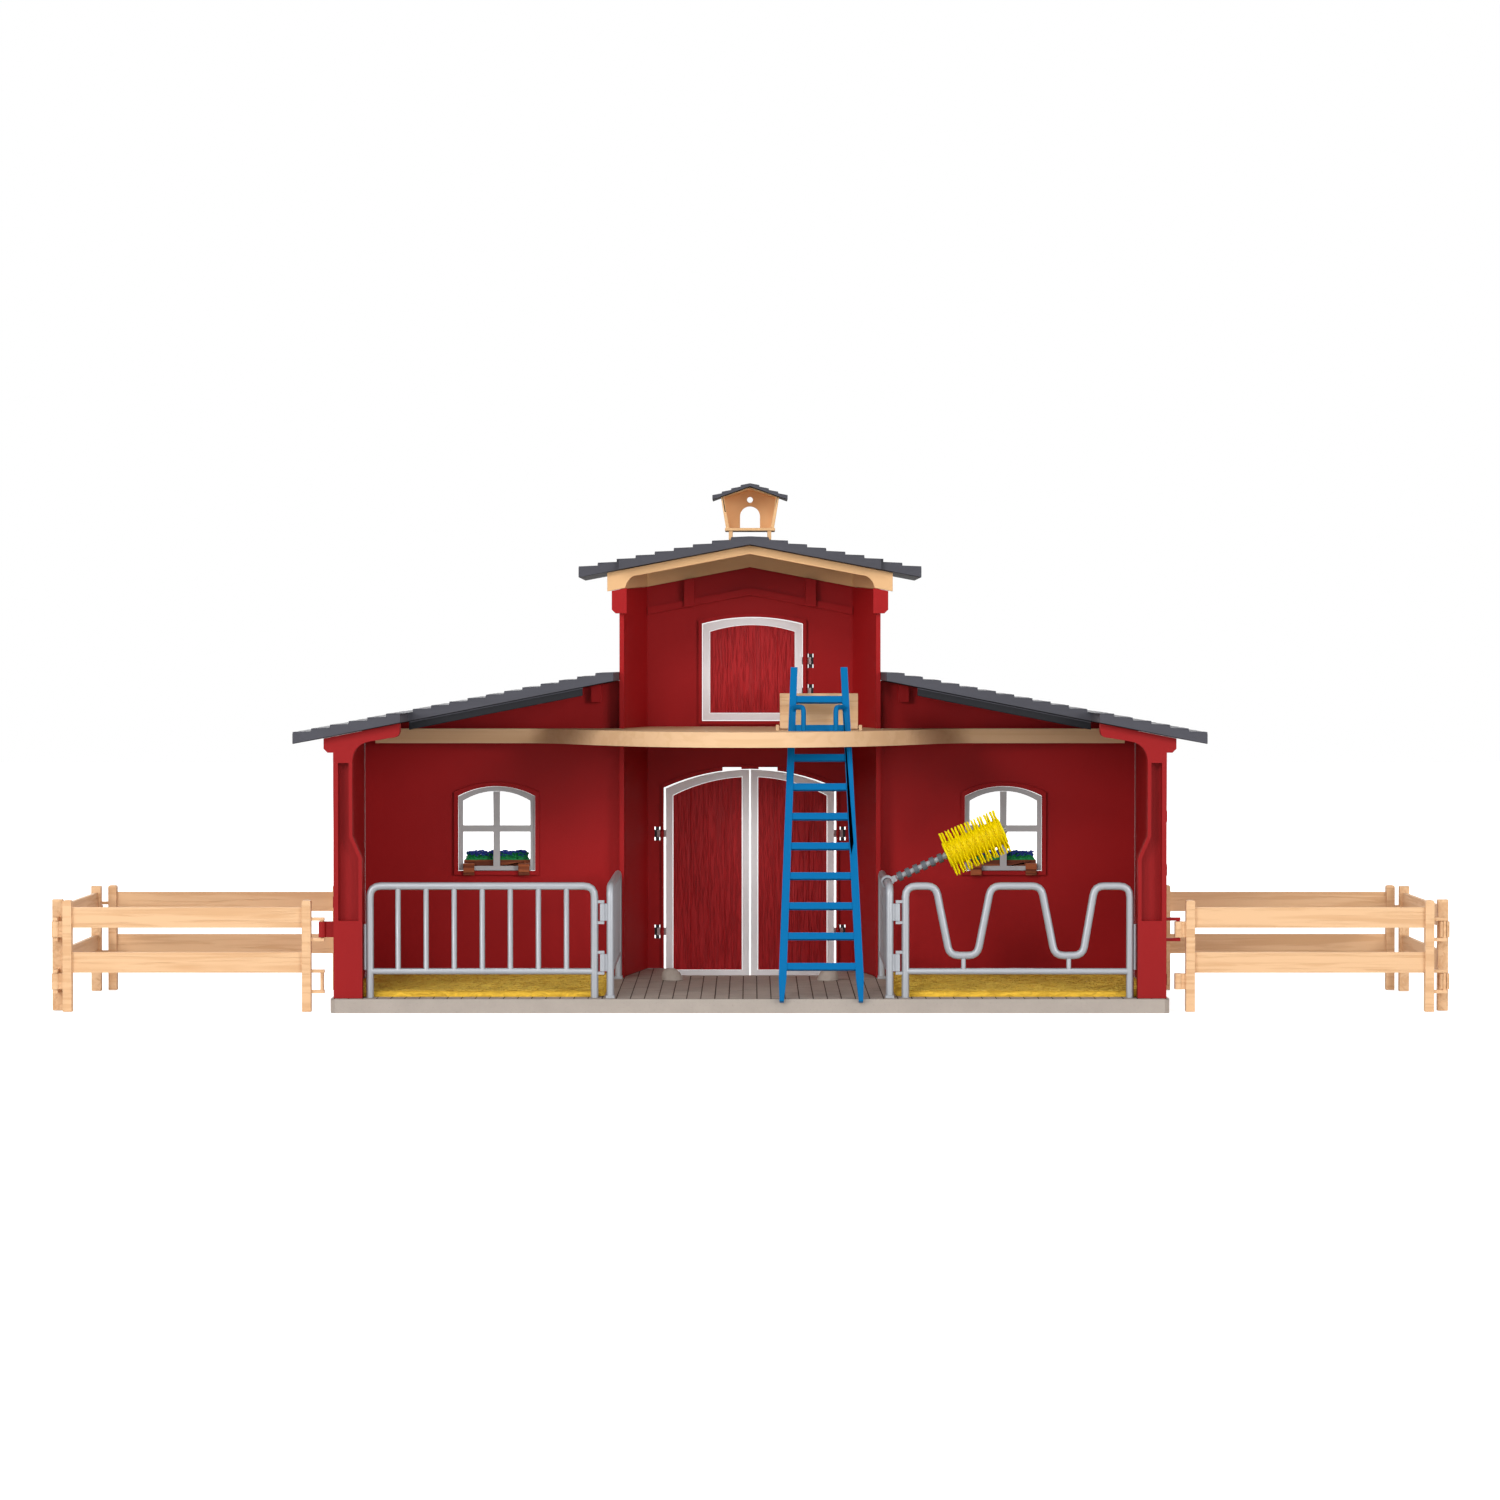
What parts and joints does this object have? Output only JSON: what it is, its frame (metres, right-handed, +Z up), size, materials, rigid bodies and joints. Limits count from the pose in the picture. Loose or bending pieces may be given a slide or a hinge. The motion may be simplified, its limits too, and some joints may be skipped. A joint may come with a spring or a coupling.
{
  "type": "toy barn",
  "caption": "Toy barn with open front, opening doors, loft, ladder, stall gates, roller brush and hinged fences.",
  "frame": {"origin": "on the ground under the middle of the two wings, at the crossing of the base's ribs", "axes": "+Z up, +X to the right seen from the open side, +Y away from the open side towards the doors"},
  "size_m": [0.8864, 0.2669, 0.3426],
  "materials": {
    "red_plastic": "satin moulded",
    "slate_plastic": "matte, tiled relief",
    "timber_plastic": "satin with wood grain",
    "stone_plastic": "matte, paved relief",
    "white_plastic": "satin",
    "panel_plastic": "satin with board grain",
    "steel_plastic": "satin silver grey",
    "dark_plastic": "satin",
    "blue_plastic": "satin",
    "yellow_plastic": "satin",
    "straw": "matte fibre mat",
    "brown_plastic": "satin",
    "leaf_plastic": "matte",
    "bloom_plastic": "matte"
  },
  "bodies": {
    "barn": {"base_floor": "stone_plastic", "left_side_wall": "red_plastic", "left_back_wall": "red_plastic", "left_wing_roof": "slate_plastic", "left_window_frame": "white_plastic", "left_planter": "brown_plastic", "left_foliage": "leaf_plastic", "left_flowers": "bloom_plastic", "left_straw_mat": "straw", "left_partition": "steel_plastic", "right_side_wall": "red_plastic", "right_back_wall": "red_plastic", "right_wing_roof": "slate_plastic", "right_window_frame": "white_plastic", "right_planter": "brown_plastic", "right_foliage": "leaf_plastic", "right_flowers": "bloom_plastic", "right_straw_mat": "straw", "right_partition": "steel_plastic", "tower_wall": "red_plastic", "tower_gable": "timber_plastic", "tower_roof": "slate_plastic", "cupola_house": "timber_plastic", "cupola_roof": "slate_plastic", "loft_platform": "timber_plastic", "left_door_pin_1": "dark_plastic", "left_door_pin_2": "dark_plastic", "right_door_pin_1": "dark_plastic", "right_door_pin_2": "dark_plastic", "loft_door_pin_1": "dark_plastic", "loft_door_pin_2": "dark_plastic"},
    "left_door": {"left_door_frame": "white_plastic", "left_door_panel": "panel_plastic"},
    "right_door": {"right_door_frame": "white_plastic", "right_door_panel": "panel_plastic"},
    "loft_door": {"loft_door_frame": "white_plastic", "loft_door_panel": "panel_plastic"},
    "trap_door": {"trap_door": "timber_plastic"},
    "ladder": {"ladder": "blue_plastic"},
    "left_gate": {"left_gate": "steel_plastic"},
    "right_gate": {"right_gate": "steel_plastic"},
    "brush_arm": {"brush_clip": "steel_plastic", "brush_neck": "dark_plastic"},
    "brush_roller": {"brush_roller": "yellow_plastic"},
    "left_fence_front": {"left_fence_front": "timber_plastic"},
    "left_fence_end": {"left_fence_end": "timber_plastic"},
    "left_fence_back": {"left_fence_back": "timber_plastic"},
    "right_fence_front": {"right_fence_front": "timber_plastic"},
    "right_fence_end": {"right_fence_end": "timber_plastic"},
    "right_fence_back": {"right_fence_back": "timber_plastic"}
  },
  "joints": [
    {"name": "left_door_swing", "type": "hinge", "parent": "barn", "child": "left_door", "pos_m": [-0.06425, 0.1634, 0.07], "axis": [0, 0, 1], "range_deg": [0, 110]},
    {"name": "right_door_swing", "type": "hinge", "parent": "barn", "child": "right_door", "pos_m": [0.06425, 0.1634, 0.07], "axis": [0, 0, -1], "range_deg": [0, 110]},
    {"name": "loft_door_swing", "type": "hinge", "parent": "barn", "child": "loft_door", "pos_m": [0.042, 0.1634, 0.215], "axis": [0, 0, -1], "range_deg": [0, 110]},
    {"name": "trap_door_tip", "type": "hinge", "parent": "barn", "child": "trap_door", "pos_m": [0.046, 0.002, 0.1788], "axis": [-1, 0, 0], "range_deg": [0, 80]},
    {"name": "ladder_lift", "type": "slide", "parent": "barn", "child": "ladder", "axis": [0, 0.3939, 0.9191], "range_m": [0, 0.02]},
    {"name": "left_gate_swing", "type": "hinge", "parent": "barn", "child": "left_gate", "pos_m": [-0.0934, -0.082, 0.045], "axis": [0, 0, 1], "range_deg": [0, 85]},
    {"name": "right_gate_swing", "type": "hinge", "parent": "barn", "child": "right_gate", "pos_m": [0.0934, -0.082, 0.045], "axis": [0, 0, -1], "range_deg": [0, 85]},
    {"name": "brush_tilt", "type": "hinge", "parent": "barn", "child": "brush_arm", "pos_m": [0.0884, -0.0345, 0.08], "axis": [0, -1, 0], "range_deg": [-15, 40]},
    {"name": "brush_spin", "type": "hinge", "parent": "brush_arm", "child": "brush_roller", "pos_m": [0.13408, -0.0345, 0.10034], "axis": [0.9135, 0, 0.4067], "continuous": true},
    {"name": "left_fence_front_swing", "type": "hinge", "parent": "barn", "child": "left_fence_front", "pos_m": [-0.271, -0.08, 0.035], "axis": [0, 0, 1], "range_deg": [-35, 35]},
    {"name": "left_fence_end_swing", "type": "hinge", "parent": "left_fence_front", "child": "left_fence_end", "pos_m": [-0.44, -0.08, 0.035], "axis": [0, 0, 1], "range_deg": [-35, 35]},
    {"name": "left_fence_back_swing", "type": "hinge", "parent": "barn", "child": "left_fence_back", "pos_m": [-0.271, 0.086, 0.035], "axis": [0, 0, 1], "range_deg": [-35, 35]},
    {"name": "right_fence_front_swing", "type": "hinge", "parent": "barn", "child": "right_fence_front", "pos_m": [0.271, -0.08, 0.035], "axis": [0, 0, 1], "range_deg": [-35, 35]},
    {"name": "right_fence_end_swing", "type": "hinge", "parent": "right_fence_front", "child": "right_fence_end", "pos_m": [0.44, -0.08, 0.035], "axis": [0, 0, 1], "range_deg": [-35, 35]},
    {"name": "right_fence_back_swing", "type": "hinge", "parent": "barn", "child": "right_fence_back", "pos_m": [0.271, 0.086, 0.035], "axis": [0, 0, 1], "range_deg": [-35, 35]}
  ],
  "couplings": [
    {"joint": "left_fence_end_swing", "follows": "left_fence_front_swing", "ratio": -1},
    {"joint": "left_fence_back_swing", "follows": "left_fence_front_swing", "ratio": 1},
    {"joint": "right_fence_end_swing", "follows": "right_fence_front_swing", "ratio": -1},
    {"joint": "right_fence_back_swing", "follows": "right_fence_front_swing", "ratio": 1}
  ]
}
